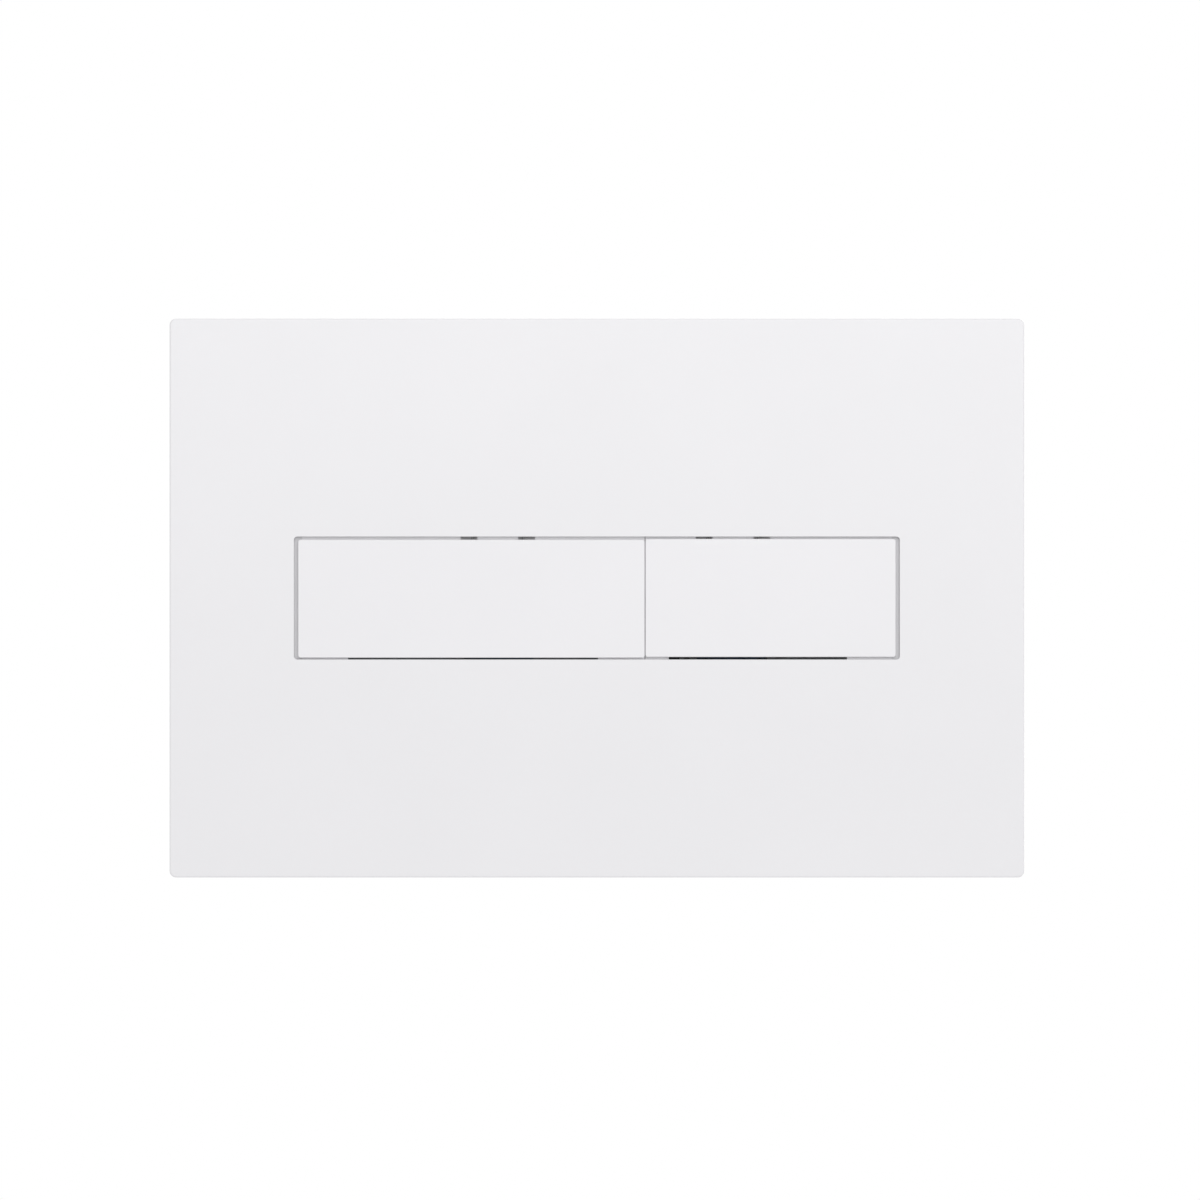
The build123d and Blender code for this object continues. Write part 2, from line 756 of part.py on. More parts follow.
for name, x in (("full", full_rod_x), ("half", half_rod_x)):
    pieces[name + "_rod_cap"] = rod_cap(x)
    pieces[name + "_push_rod"] = push_rod(x)
    pieces[name + "_rod_guide"] = rod_guide(x)
    pieces[name + "_coil_spring"] = coil_spring(x)

for name, knuckles in (("full", full_knuckles), ("half", half_knuckles)):
    left, right = spring_stations(knuckles)
    pieces[name + "_left_torsion_spring"] = torsion_spring(left, 1)
    pieces[name + "_right_torsion_spring"] = torsion_spring(right, -1)

for name, spot in zip(("full_left", "full_right", "half_left", "half_right"), buffer_spots()):
    pieces[name + "_buffer"] = buffer(*spot)

for name, piece in pieces.items():
    export_step(piece, "parts/" + name + ".step")
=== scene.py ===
import json
import math
import bmesh
import bpy
from mathutils import Matrix, Vector


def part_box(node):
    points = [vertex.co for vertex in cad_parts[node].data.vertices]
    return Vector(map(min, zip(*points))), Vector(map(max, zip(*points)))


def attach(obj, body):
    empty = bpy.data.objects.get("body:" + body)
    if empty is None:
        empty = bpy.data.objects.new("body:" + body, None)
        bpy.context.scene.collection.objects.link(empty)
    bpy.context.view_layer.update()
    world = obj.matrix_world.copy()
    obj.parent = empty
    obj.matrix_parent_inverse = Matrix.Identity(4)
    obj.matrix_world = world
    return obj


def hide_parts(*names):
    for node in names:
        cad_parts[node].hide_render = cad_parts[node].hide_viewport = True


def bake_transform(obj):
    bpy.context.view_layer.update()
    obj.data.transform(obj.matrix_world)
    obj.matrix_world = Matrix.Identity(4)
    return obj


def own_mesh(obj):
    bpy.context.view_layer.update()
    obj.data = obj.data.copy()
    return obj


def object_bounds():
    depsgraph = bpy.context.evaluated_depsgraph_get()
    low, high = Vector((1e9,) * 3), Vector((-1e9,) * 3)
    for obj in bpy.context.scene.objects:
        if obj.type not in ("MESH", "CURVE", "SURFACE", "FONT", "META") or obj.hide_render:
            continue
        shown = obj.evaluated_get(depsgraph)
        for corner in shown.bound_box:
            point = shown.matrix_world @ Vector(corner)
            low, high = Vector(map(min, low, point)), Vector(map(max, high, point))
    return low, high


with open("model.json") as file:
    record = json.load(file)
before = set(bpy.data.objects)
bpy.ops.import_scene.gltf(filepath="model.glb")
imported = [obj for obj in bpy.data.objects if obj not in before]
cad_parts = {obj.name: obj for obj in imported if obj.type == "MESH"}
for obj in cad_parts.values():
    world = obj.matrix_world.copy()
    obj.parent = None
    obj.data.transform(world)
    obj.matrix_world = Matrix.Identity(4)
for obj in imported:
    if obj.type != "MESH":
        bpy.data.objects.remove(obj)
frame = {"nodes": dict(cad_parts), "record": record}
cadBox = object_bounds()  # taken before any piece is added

print("frame loaded with", len(frame["nodes"]), "nodes")


def connect(tree, value, port):
    if isinstance(value, Wire):
        tree.links.new(value.socket, port)
    else:
        port.default_value = value


class Wire:  # one output in a node tree; sums and products of wires become Math nodes
    def __init__(self, tree, socket):
        self.tree = tree
        self.socket = socket

    def maths(self, operation, *values):
        made = self.tree.nodes.new("ShaderNodeMath")
        made.operation = operation
        for port, value in zip(made.inputs, values):
            connect(self.tree, value, port)
        return Wire(self.tree, made.outputs[0])

    def __add__(self, other):
        return self.maths("ADD", self, other)

    def __radd__(self, other):
        return self.maths("ADD", other, self)

    def __sub__(self, other):
        return self.maths("SUBTRACT", self, other)

    def __rsub__(self, other):
        return self.maths("SUBTRACT", other, self)

    def __mul__(self, other):
        return self.maths("MULTIPLY", self, other)

    def __rmul__(self, other):
        return self.maths("MULTIPLY", other, self)

    def __truediv__(self, other):
        return self.maths("DIVIDE", self, other)

    def __rtruediv__(self, other):
        return self.maths("DIVIDE", other, self)

    def within(self, low, high):
        return self.maths("MINIMUM", self.maths("MAXIMUM", self, low), high)

    def near(self, centre, reach, soft):  # 1 within reach of centre, 0 beyond reach and soft
        away = self.maths("ABSOLUTE", self - centre)
        return ((reach + soft - away) / soft).within(0.0, 1.0)


def spreadStops(elements, stops):
    while len(elements) < len(stops):
        elements.new(0.5)
    for element, (position, colour) in zip(elements, stops):
        element.position = position
        element.color = (*colour, 1)


class Bench:  # where the nodes of a material, the world or a modifier are made
    def __init__(self, tree):
        self.tree = tree
        tree.nodes.clear()

    def node(self, kind, settings=None, inputs=None, out=0):
        made = self.tree.nodes.new(kind)
        for key, value in (settings or {}).items():
            if key == "stops":
                spreadStops(made.color_ramp.elements, value)
            else:
                setattr(made, key, value)
        for key, value in (inputs or {}).items():
            connect(self.tree, value, made.inputs[key])
        return Wire(self.tree, made.outputs[out]) if made.outputs else None

    def parts(self, vector):  # its x, y and z
        return [self.node("ShaderNodeSeparateXYZ", inputs={"Vector": vector}, out=axis) for axis in "XYZ"]

    def noise(self, place, scale, detail, roughness=0.5):
        inputs = {"Vector": place, "Scale": scale, "Detail": detail, "Roughness": roughness}
        return self.node("ShaderNodeTexNoise", inputs=inputs)

    def shades(self, factor, stops):
        return self.node("ShaderNodeValToRGB", {"stops": stops}, {"Fac": factor})

    def tints(self, factor, colour, shares):  # shares of one colour, from its darkest to its lightest
        stops = [(position, tuple(channel * share for channel in colour)) for position, share in shares]
        return self.shades(factor, stops)

    def darkened(self, factor, colour, shade):  # the colour times the shade where the factor is 1
        settings = {"data_type": "RGBA", "blend_type": "MULTIPLY"}
        return self.node("ShaderNodeMix", settings, {0: factor, 6: colour, 7: shade}, out=2)

    def bump(self, height, depth, softEdge):  # depth is how far white stands above black
        corners = self.node("ShaderNodeBevel", {"samples": 4}, {"Radius": softEdge})
        inputs = {"Height": height, "Strength": 1.0, "Distance": depth, "Normal": corners}
        return self.node("ShaderNodeBump", inputs=inputs)

    def surface(self, inputs):
        shader = self.node("ShaderNodeBsdfPrincipled", inputs=inputs)
        self.node("ShaderNodeOutputMaterial", inputs={"Surface": shader})

    def seen(self):  # 1 for what the camera sees, also in a mirror or through glass
        path = [
            self.node("ShaderNodeLightPath", out=name)
            for name in ("Is Camera Ray", "Is Glossy Ray", "Is Transmission Ray")
        ]
        return (path[0] + path[1] + path[2]).within(0.0, 1.0)


def openBench(owner):
    owner.use_nodes = True
    return Bench(owner.node_tree)


flangeShadeAndRoughness = {  # painted shade on the front of the button flanges, which shows in the gaps; the front is also unpolished, so rougher
    "halfWidth": 0.0935,
    "depth": -0.0107,
    "halfDepth": 0.0004,
    "halfHeight": 0.0205,
    "endsFrom": 0.0896,     # beyond this, at the window's ends, the full shade
    "longShare": 0.45,      # of the shade, along the window's long sides
    "soft": 0.0002,
    # painted shade: the flange colour is darkened down in the gaps
    "shade": (0.76, 0.76, 0.76, 1),
    "extraRoughness": 0.3,
}
glossFinish = {  # noises are given as scale and detail
    "waves": (22.0, 3.0),
    "haze": (70.0, 4.0),
    "peel": (620.0, 2.0),
    "shares": ((0.3, 0.994), (0.7, 1.006)),
    "hazeRoughness": 0.07,
    "waveHeight": 2.0,      # times the peel's
    "depth": 0.000008,
    "softEdge": 0.00012,
    "index": 1.52,
}


def flangeShadeMask(bench, place):  # where the painted shade goes: 1 on the flanges at the window's ends, longShare along its long sides
    across, inwards, up = bench.parts(place)
    soft = flangeShadeAndRoughness["soft"]
    longShare = flangeShadeAndRoughness["longShare"]
    ends = 1 - across.near(0.0, flangeShadeAndRoughness["endsFrom"], soft)
    return (
        (longShare + (1 - longShare) * ends)
        * across.near(0.0, flangeShadeAndRoughness["halfWidth"], soft)
        * inwards.near(flangeShadeAndRoughness["depth"], flangeShadeAndRoughness["halfDepth"], soft)
        * up.near(0.0, flangeShadeAndRoughness["halfHeight"], soft))


def glossMoulding(name, colour, roughness):
    material = bpy.data.materials.new(name)
    bench = openBench(material)
    finish = glossFinish
    place = bench.node("ShaderNodeTexCoord", out="Object")
    waves = bench.noise(place, *finish["waves"])
    haze = bench.noise(place, *finish["haze"])
    peel = bench.noise(place, *finish["peel"])
    flange = flangeShadeMask(bench, place)
    bench.surface({
        # painted shade darkens the flange fronts in the gaps; their extra roughness is real
        "Base Color": bench.darkened(
            flange, bench.tints(waves, colour, finish["shares"]), flangeShadeAndRoughness["shade"]),
        "Roughness": (
            roughness + finish["hazeRoughness"] * (haze - 0.5)
            + flangeShadeAndRoughness["extraRoughness"] * flange),
        "IOR": finish["index"],
        "Normal": bench.bump(peel + finish["waveHeight"] * waves, finish["depth"], finish["softEdge"])})
    return material


grainFinish = {
    "cloud": (35.0, 4.0),
    "smoothness": 0.7,      # of the grain's pebbles
    "speckScale": 1.7,      # times the grain's
    "speckDetail": 3.0,
    "shares": ((0.28, 0.93), (0.72, 1.06)),
    "speckRoughness": 0.12,
    "cloudRoughness": 0.06,
    "speckHeight": 0.4,     # times the pebbles'
    "softEdge": 0.00025,
    "index": 1.5,
}


def grainedMoulding(name, colour, roughness, grain, depth):
    material = bpy.data.materials.new(name)
    bench = openBench(material)
    finish = grainFinish
    place = bench.node("ShaderNodeTexCoord", out="Object")
    cloud = bench.noise(place, *finish["cloud"])
    pebble = bench.node(
        "ShaderNodeTexVoronoi", {"feature": "SMOOTH_F1"},
        {"Vector": place, "Scale": grain, "Smoothness": finish["smoothness"]}, out="Distance")
    speck = bench.noise(place, grain * finish["speckScale"], finish["speckDetail"])
    bench.surface({
        "Base Color": bench.tints(cloud, colour, finish["shares"]),
        "Roughness": (
            roughness + finish["speckRoughness"] * (speck - 0.5)
            + finish["cloudRoughness"] * (cloud - 0.5)),
        "IOR": finish["index"],
        "Normal": bench.bump(pebble + finish["speckHeight"] * speck, depth, finish["softEdge"])})
    return material


drawnFinish = {
    "lines": (1.0, 5.0, 0.65),      # scale, detail and roughness of the noise
    "stain": (120.0, 3.0),
    "shares": ((0.3, 0.86), (0.7, 1.08)),
    "lineRoughness": 0.18,
    "stainRoughness": 0.12,
    "depth": 0.000006,
    "softEdge": 0.00008,
}


def drawnWire(name, colour, roughness, stretch):
    material = bpy.data.materials.new(name)
    bench = openBench(material)
    finish = drawnFinish
    place = bench.node("ShaderNodeTexCoord", out="Object")
    along = bench.node("ShaderNodeMapping", inputs={"Vector": place, "Scale": stretch})
    lines = bench.noise(along, *finish["lines"])
    stain = bench.noise(place, *finish["stain"])
    bench.surface({
        "Base Color": bench.tints(lines, colour, finish["shares"]),
        "Metallic": 1.0,
        "Roughness": (
            roughness + finish["lineRoughness"] * (lines - 0.5)
            + finish["stainRoughness"] * (stain - 0.5)),
        "Normal": bench.bump(lines, finish["depth"], finish["softEdge"])})
    return material


fixingBolt = {
    "neckRear": 0.013,      # where the neck ends and the thread starts
    "pitch": 0.001,
    "crest": 0.003,
    "root": 0.00242,
    "tip": 0.0009,          # length of the lead-in cone
    "edge": 0.00022,        # rounding of the head's edges
    "edgeSegments": 2,
    "edgeTurn": 0.7,        # radians; what turns more at the head is an edge to round
    "cornerReach": 0.001,   # round the head's outermost corner
    "flatAngle": 2,         # degrees; flatter facets become one face
}
zincFinish = {
    "cloud": (240.0, 5.0, 0.6),
    "crystalScale": 1500.0,
    "shares": ((0.3, 0.93), (0.55, 1.0), (0.75, 1.05)),
    "roughness": 0.3,
    "cloudRoughness": 0.2,
    "crystalRoughness": 0.06,
    "rootRoughness": 0.2,
    # painted shade: the zinc colour is darkened in the thread grooves
    "rootShade": (0.3, 0.3, 0.31, 1),
    "rootInset": 0.0003,    # from both ends of the thread to the full shade
    "rootSoft": 0.0002,
    "depth": 0.000008,
    "softEdge": 0.0001,
}


def threadGrooveShade(bench, place):  # painted shade mask: 1 in the grooves of both bolts' threads, 0 on their crests
    low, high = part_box("right_fixing_bolt")  # the left one is its mirror image
    across, along, up = bench.parts(place)
    aside = across.maths("ABSOLUTE", across) - (low.x + high.x) / 2
    up = up - (low.z + high.z) / 2
    square = aside * aside + up * up
    radius = square.maths("SQRT", square)
    half = (high.y - fixingBolt["neckRear"]) / 2
    threaded = along.near(
        fixingBolt["neckRear"] + half, half - zincFinish["rootInset"], zincFinish["rootSoft"])
    groove = fixingBolt["crest"] - fixingBolt["root"]
    return threaded * ((fixingBolt["crest"] - radius) / groove).within(0.0, 1.0)


def zincPlating(name, colour):
    material = bpy.data.materials.new(name)
    bench = openBench(material)
    finish = zincFinish
    place = bench.node("ShaderNodeTexCoord", out="Object")
    cloud = bench.noise(place, *finish["cloud"])
    crystal = bench.node(
        "ShaderNodeTexVoronoi", {"feature": "F1"},
        {"Vector": place, "Scale": finish["crystalScale"]}, out="Distance")
    roots = threadGrooveShade(bench, place)
    bench.surface({
        # painted shade darkens the thread grooves
        "Base Color": bench.darkened(
            roots, bench.tints(cloud, colour, finish["shares"]), finish["rootShade"]),
        "Metallic": 1.0,
        "Roughness": (
            finish["roughness"] + finish["cloudRoughness"] * (cloud - 0.5)
            + finish["crystalRoughness"] * crystal + finish["rootRoughness"] * roots),
        "Normal": bench.bump(crystal + cloud, finish["depth"], finish["softEdge"])})
    return material


rubberFinish = {
    "bloom": (260.0, 4.0),
    "skin": (2600.0, 2.0),
    "shares": ((0.35, 0.8), (0.7, 1.5)),
    "roughness": 0.72,
    "bloomRoughness": 0.15,
    "specular": 0.35,
    "depth": 0.00002,
    "softEdge": 0.0003,
}


def mouldedRubber(name, colour):
    material = bpy.data.materials.new(name)
    bench = openBench(material)
    finish = rubberFinish
    place = bench.node("ShaderNodeTexCoord", out="Object")
    bloom = bench.noise(place, *finish["bloom"])
    skin = bench.noise(place, *finish["skin"])
    bench.surface({
        "Base Color": bench.tints(bloom, colour, finish["shares"]),
        "Roughness": finish["roughness"] + finish["bloomRoughness"] * (bloom - 0.5),
        "Specular IOR Level": finish["specular"],
        "Normal": bench.bump(skin + bloom, finish["depth"], finish["softEdge"])})
    return material


materials = {  # by the record's slots
    "gloss_shell": glossMoulding("glossShell", colour=(0.853, 0.847, 0.866), roughness=0.20),
    "gloss_buttons": glossMoulding("glossButtons", colour=(0.868, 0.861, 0.882), roughness=0.18),
    "frame_plastic": grainedMoulding(
        "framePlastic", colour=(0.30, 0.31, 0.32), roughness=0.52, grain=1500.0, depth=0.00003),
    "guide_plastic": grainedMoulding(
        "guidePlastic", colour=(0.25, 0.38, 0.55), roughness=0.38, grain=2400.0, depth=0.00001),
    "rod_plastic": grainedMoulding(
        "rodPlastic", colour=(0.82, 0.82, 0.79), roughness=0.36, grain=2600.0, depth=0.000008),
    "steel": drawnWire(
        "drawnRod", colour=(0.60, 0.60, 0.60), roughness=0.24, stretch=(40.0, 4000.0, 4000.0)),
    "zinc_steel": zincPlating("zincPlate", colour=(0.62, 0.63, 0.65)),
    "spring_steel": drawnWire(
        "springWire", colour=(0.45, 0.45, 0.46), roughness=0.38, stretch=(900.0, 900.0, 900.0)),
    "buffer_rubber": mouldedRubber("bufferRubber", colour=(0.04, 0.04, 0.042)),
}
slots = {entry["node"]: entry["material_slot"] for entry in frame["record"]["subparts"]}
for name, slotName in slots.items():
    skin = frame["nodes"][name].data.materials
    skin.clear()
    skin.append(materials[slotName])
print("materials are on the CAD nodes")

curveShading = {
    "weld": 0.000001,       # CAD meshes are loose triangles
    "sharpAngle": 32,       # degrees; flatter edges are shaded as one curve
    "weight": 50,
}


def curveGroup():
    group = bpy.data.node_groups.new("curveShading", "GeometryNodeTree")
    for way in ("INPUT", "OUTPUT"):
        group.interface.new_socket("Geometry", in_out=way, socket_type="NodeSocketGeometry")
    bench = Bench(group)
    sharp = math.radians(curveShading["sharpAngle"])
    welded = bench.node("GeometryNodeMergeByDistance", inputs={
        "Geometry": bench.node("NodeGroupInput"), "Distance": curveShading["weld"]})
    gentle = bench.node(
        "FunctionNodeCompare", {"data_type": "FLOAT", "operation": "LESS_THAN"},
        {"A": bench.node("GeometryNodeInputMeshEdgeAngle"), "B": sharp})
    rounded = bench.node(
        "GeometryNodeSetShadeSmooth", {"domain": "EDGE"}, {"Geometry": welded, "Shade Smooth": gentle})
    smooth = bench.node(
        "GeometryNodeSetShadeSmooth", {"domain": "FACE"}, {"Geometry": rounded, "Shade Smooth": True})
    bench.node("NodeGroupOutput", inputs={"Geometry": smooth})
    return group


shading = curveGroup()
for node in frame["nodes"].values():  # modifiers only, so the CAD meshes stay as they are
    node.modifiers.new("curves", "NODES").node_group = shading
    weighting = node.modifiers.new("weighting", "WEIGHTED_NORMAL")
    weighting.mode = "FACE_AREA"
    weighting.weight = curveShading["weight"]
    weighting.keep_sharp = True
print("curves are shaded smooth")

newMeshes = {
    "weld": 0.000001,
    "exact": 0.0000001,     # how near counts as on a cut
    "sharpAngle": 35,       # degrees
}


def shown(name, bm, slotName):
    bmesh.ops.remove_doubles(bm, verts=bm.verts, dist=newMeshes["weld"])
    bmesh.ops.recalc_face_normals(bm, faces=bm.faces)
    mesh = bpy.data.meshes.new(name)
    bm.to_mesh(mesh)
    bm.free()
    for face in mesh.polygons:
        face.use_smooth = True
    mesh.set_sharp_from_angle(angle=math.radians(newMeshes["sharpAngle"]))
    mesh.materials.append(materials[slotName])
    piece = bpy.data.objects.new(name, mesh)
    bpy.context.scene.collection.objects.link(piece)
    return piece


def capEnds(bm):
    bmesh.ops.holes_fill(bm, edges=[edge for edge in bm.edges if edge.is_boundary], sides=0)


def cutAt(bm, y, keepFront):  # what lies behind y goes, or what lies before it
    bmesh.ops.bisect_plane(
        bm, geom=bm.verts[:] + bm.edges[:] + bm.faces[:], dist=newMeshes["exact"],
        plane_co=(0, y, 0), plane_no=(0, 1, 0), clear_outer=keepFront, clear_inner=not keepFront)


def roundOff(bm, edges, radius, segments):
    bmesh.ops.bevel(
        bm, geom=edges, offset=radius, segments=segments, profile=0.5, affect="EDGES", material=-1)


def merge(target, other):
    spare = bpy.data.meshes.new("spare")
    other.to_mesh(spare)
    other.free()
    target.from_mesh(spare)
    bpy.data.meshes.remove(spare)


threadForm = {  # one pitch of its outline is shares of the pitch and the radii there
    "shares": (0.0, 0.14, 0.44, 0.56, 0.86, 1.0),
    "radii": ("root", "root", "crest", "crest", "root", "root"),
    "runIn": 1.5,           # turns before the thread's start, which are cut off
    "stepsPerTurn": 24,
    "taper": 0.8,           # of the lead-in cones, radius lost for length
}


def screwThread(screw, centre, start, end):  # a right-hand thread along +Y, closed at both ends
    bm = bmesh.new()
    pitch = screw["pitch"]
    low = start - threadForm["runIn"] * pitch
    verts = [
        bm.verts.new((centre.x + screw[radius], low + share * pitch, centre.z))
        for share, radius in zip(threadForm["shares"], threadForm["radii"])
    ]
    edges = [bm.edges.new(pair) for pair in zip(verts, verts[1:])]
    turns = math.ceil((end - low) / pitch) + 1
    steps = threadForm["stepsPerTurn"]
    bmesh.ops.spin(
        bm, geom=verts + edges, cent=(centre.x, 0, centre.z), axis=(0, 1, 0),
        dvec=(0, pitch / steps, 0), angle=math.tau * turns, steps=steps * turns)
    bmesh.ops.remove_doubles(bm, verts=bm.verts, dist=newMeshes["weld"])
    cutAt(bm, start, keepFront=False)
    cutAt(bm, end, keepFront=True)
    capEnds(bm)
    for vert in bm.verts:  # lead-in cones
        spoke = Vector((vert.co.x - centre.x, 0, vert.co.z - centre.z))
        fromEnd = min(vert.co.y - start, end - vert.co.y)
        room = screw["crest"] - threadForm["taper"] * max(0.0, screw["tip"] - fromEnd)
        if spoke.length > room:
            vert.co -= spoke.normalized() * (spoke.length - room)
    return bm


def headRear(bm, low):  # where the head ends, at its outermost corner
    return max(
        vert.co.y for vert in bm.verts
        if (vert.co - Vector((low.x, vert.co.y, 0))).length < fixingBolt["cornerReach"])


def dressBolt(name):
    low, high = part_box(name)
    edge = fixingBolt["edge"]
    bm = bmesh.new()
    bm.from_mesh(frame["nodes"][name].data)
    bmesh.ops.remove_doubles(bm, verts=bm.verts, dist=newMeshes["weld"])
    cutAt(bm, fixingBolt["neckRear"] - edge, keepFront=True)
    capEnds(bm)
    bmesh.ops.dissolve_limit(
        bm, angle_limit=math.radians(fixingBolt["flatAngle"]), verts=bm.verts, edges=bm.edges)
    rear = headRear(bm, low) + newMeshes["weld"]
    sharp = [
        line for line in bm.edges
        if line.is_manifold and line.calc_face_angle() > fixingBolt["edgeTurn"]
        and all(vert.co.y < rear for vert in line.verts)
    ]
    roundOff(bm, sharp, edge, fixingBolt["edgeSegments"])
    centre = (low + high) / 2
    merge(bm, screwThread(fixingBolt, centre, fixingBolt["neckRear"] - 2 * edge, high.y))
    piece = shown("threaded_" + name, bm, slots[name])
    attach(piece, "plate")
    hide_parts(name)


pushRod = {
    "threadRear": 0.060,
    "pitch": 0.0016,
    "crest": 0.003,
    "root": 0.00238,
    "tip": 0.0010,
    "endRadius": 0.0027,
    "endSides": 40,
    "edge": 0.0005,
    "edgeSegments": 4,
}


def addBar(bm, centre, start, end):  # the plain end of a rod, rounded at its rear
    made = bmesh.ops.create_cone(
        bm, cap_ends=True, segments=pushRod["endSides"],
        radius1=pushRod["endRadius"], radius2=pushRod["endRadius"], depth=end - start,
        matrix=Matrix.Translation((centre.x, (start + end) / 2, centre.z))
        @ Matrix.Rotation(math.pi / 2, 4, "X"))
    rim = [
        line for line in bm.edges
        if all(vert in made["verts"] and abs(vert.co.y - end) < newMeshes["exact"] for vert in line.verts)
    ]
    roundOff(bm, rim, pushRod["edge"], pushRod["edgeSegments"])


def dressRod(which):
    name = which + "_push_rod"
    low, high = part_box(name)
    centre = (low + high) / 2
    bm = screwThread(pushRod, centre, low.y, pushRod["threadRear"])
    addBar(bm, centre, pushRod["threadRear"] - pushRod["tip"], high.y)
    piece = shown("threaded_" + name, bm, slots[name])
    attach(piece, which + "_rod")
    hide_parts(name)


wireSides = 14  # of the round section of both kinds of spring


def wireEnd(bm, middle, radius):  # the round section that a wire starts with
    return bmesh.ops.create_circle(
        bm, cap_ends=False, segments=wireSides, radius=radius, matrix=Matrix.Translation(middle))["verts"]


def ringEdges(verts):
    chosen = set(verts)
    return [
        edge for vert in verts for edge in vert.link_edges
        if set(edge.verts) <= chosen and edge.verts[0] is vert
    ]


def newVerts(geometry):
    return [item for item in geometry if isinstance(item, bmesh.types.BMVert)]


def wind(bm, verts, centre, axis, pitch, turns, stepsPerTurn):
    steps = round(turns * stepsPerTurn)
    made = bmesh.ops.spin(
        bm, geom=verts + ringEdges(verts), cent=centre, axis=axis, dvec=axis * (pitch * turns / steps),
        angle=math.tau * turns, steps=steps)
    return newVerts(made["geom_last"])


def runStraight(bm, verts, shift):
    made = bmesh.ops.extrude_edge_only(bm, edges=ringEdges(verts))
    moved = newVerts(made["geom"])
    bmesh.ops.translate(bm, verts=moved, vec=shift)
    return moved


coilSpring = {
    "wire": 0.0009,
    "meanRadius": 0.00535,
    "seatGap": 0.00003,     # between the end turns and what they bear on
    "closedPitch": 0.00096,
    "closedTurns": 1,       # at each end
    "openTurns": 4,
    "stepsPerTurn": 36,
    "capBack": 0.0006,
    "guideFloor": 0.0172,
    "travel": 0.0042,
}


def dressCoilSpring(which):
    name = which + "_coil_spring"
    low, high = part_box(name)
    x = (low.x + high.x) / 2
    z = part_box(which + "_push_rod")[0].z + pushRod["crest"]
    half = coilSpring["wire"] / 2
    start = coilSpring["capBack"] + half + coilSpring["seatGap"]
    end = coilSpring["guideFloor"] - half - coilSpring["seatGap"]
    closedPitch = coilSpring["closedPitch"]
    closedTurns = coilSpring["closedTurns"]
    openTurns = coilSpring["openTurns"]
    openPitch = (end - start - 2 * closedPitch * closedTurns) / openTurns
    bm = bmesh.new()
    axis = Vector((0, 1, 0))
    verts = wireEnd(bm, (x + coilSpring["meanRadius"], start, z), half)
    for pitch, turns in ((closedPitch, closedTurns), (openPitch, openTurns), (closedPitch, closedTurns)):
        verts = wind(bm, verts, Vector((x, 0, z)), axis, pitch, turns, coilSpring["stepsPerTurn"])
    capEnds(bm)
    piece = shown("round_wire_" + name, bm, slots[name])
    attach(piece, "plate")
    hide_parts(name)
    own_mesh(piece)


torsionSpring = {
    "wire": 0.0006,
    "meanRadius": 0.00165,
    "pitch": 0.0009,
    "turns": 2,
    "stepsPerTurn": 30,
    "upperLeg": 0.0029,
}


def dressTorsionSpring(which, side):  # wound for the left side, and mirrored for the right one
    name = which + "_" + side + "_torsion_spring"
    low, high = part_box(name)
    hand = 1 if side == "left" else -1
    x = (low.x + high.x) / 2
    y, z = [(first + last) / 2 for first, last in zip(*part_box(which + "_hinge_rod"))][1:]
    pitch, turns, upperLeg = [torsionSpring[key] for key in ("pitch", "turns", "upperLeg")]
    length = pitch * turns
    half = torsionSpring["wire"] / 2
    axis = Vector((1, 0, 0))
    bm = bmesh.new()
    verts = wireEnd(bm, (-length / 2, y - torsionSpring["meanRadius"], z + upperLeg), half)
    verts = runStraight(bm, verts, (0, 0, -upperLeg))
    verts = wind(bm, verts, Vector((0, y, z)), axis, pitch, turns, torsionSpring["stepsPerTurn"])
    runStraight(bm, verts, (0, 0, low.z - z))
    capEnds(bm)
    for vert in bm.verts:
        vert.co.x = x + hand * vert.co.x
    piece = shown("round_wire_" + name, bm, slots[name])
    clear = hand * (length / 2 - half)
    x - clear
    x + clear
    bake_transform(piece)
    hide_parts(name)


rubberBuffer = {
    "pad": 0.002,
    "stemWidth": 0.003,
    "edge": 0.0005,
    "stemEdge": 0.0003,
    "edgeSegments": 4,
}


def addBlock(bm, low, high, edge):
    made = bmesh.ops.create_cube(
        bm, size=1, matrix=Matrix.Translation((low + high) / 2) @ Matrix.Diagonal((*(high - low), 1)))
    lines = [line for line in bm.edges if all(vert in made["verts"] for vert in line.verts)]
    roundOff(bm, lines, edge, rubberBuffer["edgeSegments"])


def dressBuffer(name):
    low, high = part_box(name)
    middle = (low + high) / 2
    half = rubberBuffer["stemWidth"] / 2
    back = low.y + rubberBuffer["pad"]
    bm = bmesh.new()
    addBlock(bm, low, Vector((high.x, back, high.z)), rubberBuffer["edge"])
    addBlock(
        bm, Vector((middle.x - half, back - rubberBuffer["edge"], middle.z - half)),
        Vector((middle.x + half, high.y, middle.z + half)), rubberBuffer["stemEdge"])
    piece = shown("rounded_" + name, bm, slots[name])
    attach(piece, "plate")
    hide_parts(name)


for side in ("left", "right"):
    dressBolt(side + "_fixing_bolt")
for which in ("full", "half"):
    dressRod(which)
    dressCoilSpring(which)
    for side in ("left", "right"):
        dressTorsionSpring(which, side)
        dressBuffer(which + "_" + side + "_buffer")
print("threads, springs and buffers are dressed")

white = (1, 1, 1, 1)
studio = {
    "photoSide": 1200,           # pixels
    "plateWidthPixels": 854.8,   # of the photograph
    "plateWidth": 0.260,
    "plateCentrePixel": (596.9, 598.05),
    "distance": 2.0,
    "sensor": 36.0,
    "farthest": 50,              # that the camera sees
    "worldLight": 0.63,
}


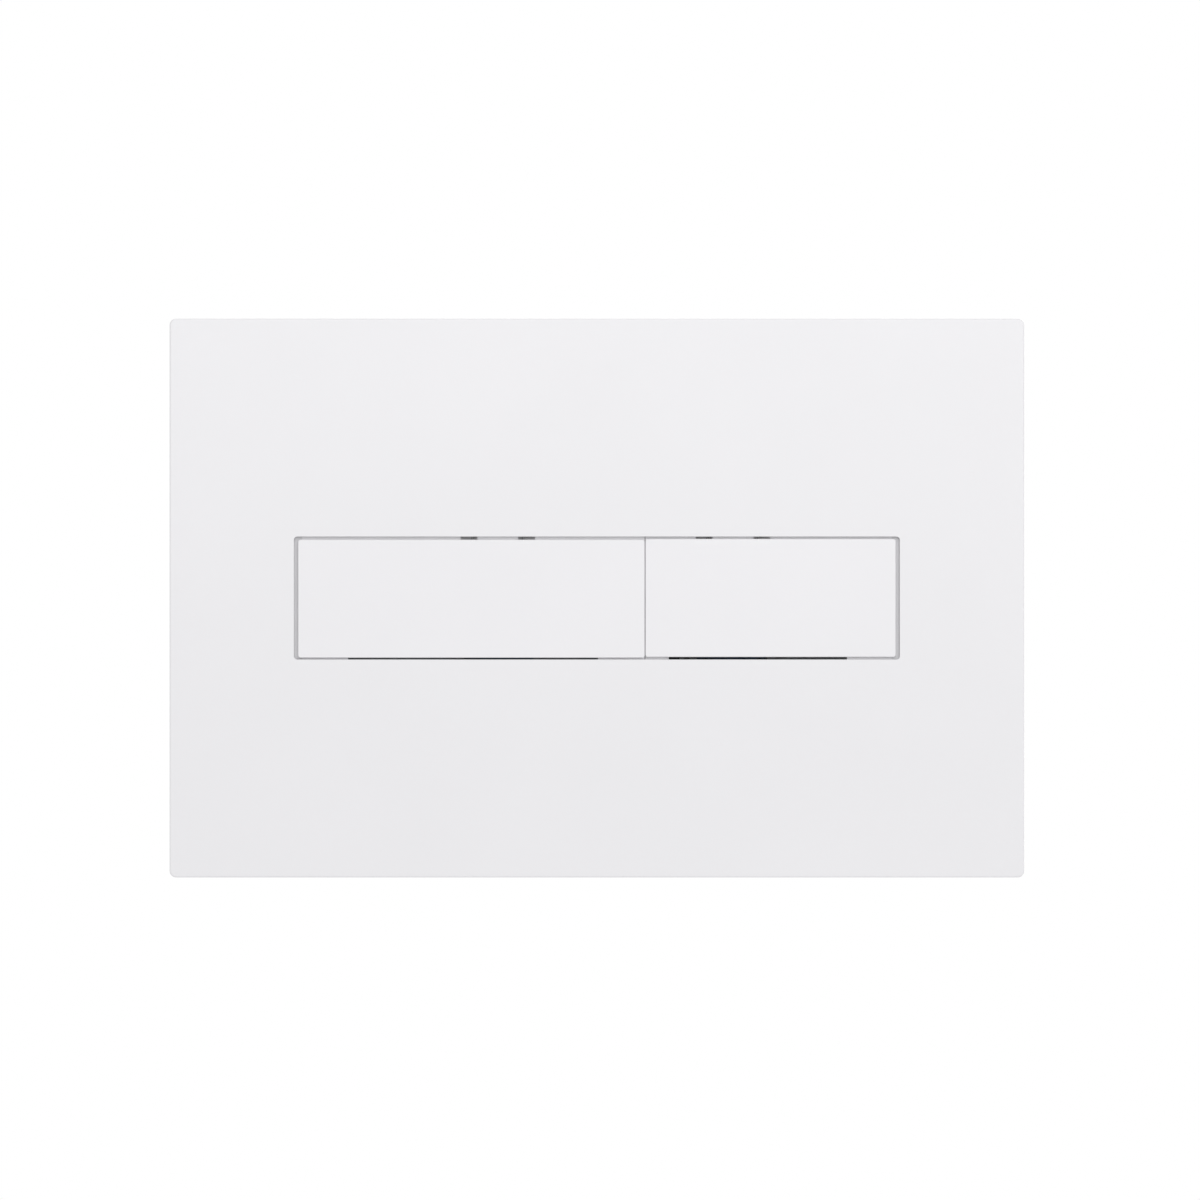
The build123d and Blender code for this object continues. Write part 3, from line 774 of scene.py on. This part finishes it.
def aimCamera():
    pixel = studio["plateWidth"] / studio["plateWidthPixels"]
    centre = studio["photoSide"] / 2
    across = (centre - studio["plateCentrePixel"][0]) * pixel
    down = (centre - studio["plateCentrePixel"][1]) * pixel
    lensData = bpy.data.cameras.new("camera")
    lensData.sensor_width = studio["sensor"]
    lensData.lens = studio["sensor"] * studio["distance"] / (studio["photoSide"] * pixel)
    lensData.clip_end = studio["farthest"]
    camera = bpy.data.objects.new("camera", lensData)
    camera.location = (across, cadBox[0].y - studio["distance"], -down)
    camera.rotation_euler = (math.pi / 2, 0, 0)
    bpy.context.scene.collection.objects.link(camera)
    bpy.context.scene.camera = camera


def lightWorld():
    world = bpy.data.worlds.new("studioWorld")
    bpy.context.scene.world = world
    bench = openBench(world)
    dull = bench.node("ShaderNodeBackground", inputs={"Color": white, "Strength": studio["worldLight"]})
    plain = bench.node("ShaderNodeBackground", inputs={"Color": white, "Strength": 1.0})
    mixed = bench.node("ShaderNodeMixShader", inputs={0: bench.seen(), 1: dull, 2: plain})
    bench.node("ShaderNodeOutputWorld", inputs={"Surface": mixed})


paleFloor = {
    "height": -0.34,
    "radius": 1.6,
    "sides": 96,
    "lift": 0.5,                 # how white the camera sees it near the object
    "fade": (0.7, 1.4),          # between these distances it turns white for the camera
    "mottle": (9.0, 4.0),
    "stops": ((0.3, (0.84, 0.84, 0.84)), (0.7, (0.86, 0.86, 0.86))),
    "roughness": 0.9,
}


def layFloor():
    bm = bmesh.new()
    bmesh.ops.create_circle(
        bm, cap_ends=True, segments=paleFloor["sides"], radius=paleFloor["radius"],
        matrix=Matrix.Translation((0, 0, paleFloor["height"])))
    mesh = bpy.data.meshes.new("floor")
    bm.to_mesh(mesh)
    bm.free()
    floor = bpy.data.objects.new("floor", mesh)
    bpy.context.scene.collection.objects.link(floor)
    material = bpy.data.materials.new("paleFloor")
    bench = openBench(material)
    place = bench.node("ShaderNodeTexCoord", out="Object")
    away = bench.node("ShaderNodeVectorMath", {"operation": "LENGTH"}, {0: place}, out="Value")
    nearest, farthest = paleFloor["fade"]
    fade = ((away - nearest) / (farthest - nearest)).within(0.0, 1.0)
    lift = paleFloor["lift"]
    mottle = bench.noise(place, *paleFloor["mottle"])
    matt = bench.node("ShaderNodeBsdfPrincipled", inputs={
        "Base Color": bench.shades(mottle, paleFloor["stops"]),
        "Roughness": paleFloor["roughness"], "Specular IOR Level": 0.0})
    bright = bench.node("ShaderNodeEmission", inputs={"Color": white, "Strength": 1.0})
    share = bench.seen() * (lift + (1 - lift) * fade)
    mixed = bench.node("ShaderNodeMixShader", inputs={0: share, 1: matt, 2: bright})
    bench.node("ShaderNodeOutputMaterial", inputs={"Surface": mixed})
    mesh.materials.append(material)


softboxes = {
    "keyLight": {"place": (0.35, -1.9, 0.9), "size": 1.8, "watts": 17},
    "backLight": {"place": (0.9, 1.7, 0.8), "size": 2.2, "watts": 14},
}


def hangSoftbox(name, place, size, watts):  # it faces the origin
    data = bpy.data.lights.new(name, "AREA")
    data.shape = "SQUARE"
    data.size = size
    data.energy = watts
    lamp = bpy.data.objects.new(name, data)
    lamp.location = place
    lamp.visible_camera = False
    lamp.rotation_euler = Vector(place).to_track_quat("Z", "Y").to_euler()
    bpy.context.scene.collection.objects.link(lamp)


aimCamera()
lightWorld()
layFloor()
for name, settings in softboxes.items():
    hangSoftbox(name, **settings)
bpy.context.scene.view_settings.view_transform = "Standard"
print("camera, lights and floor are set")
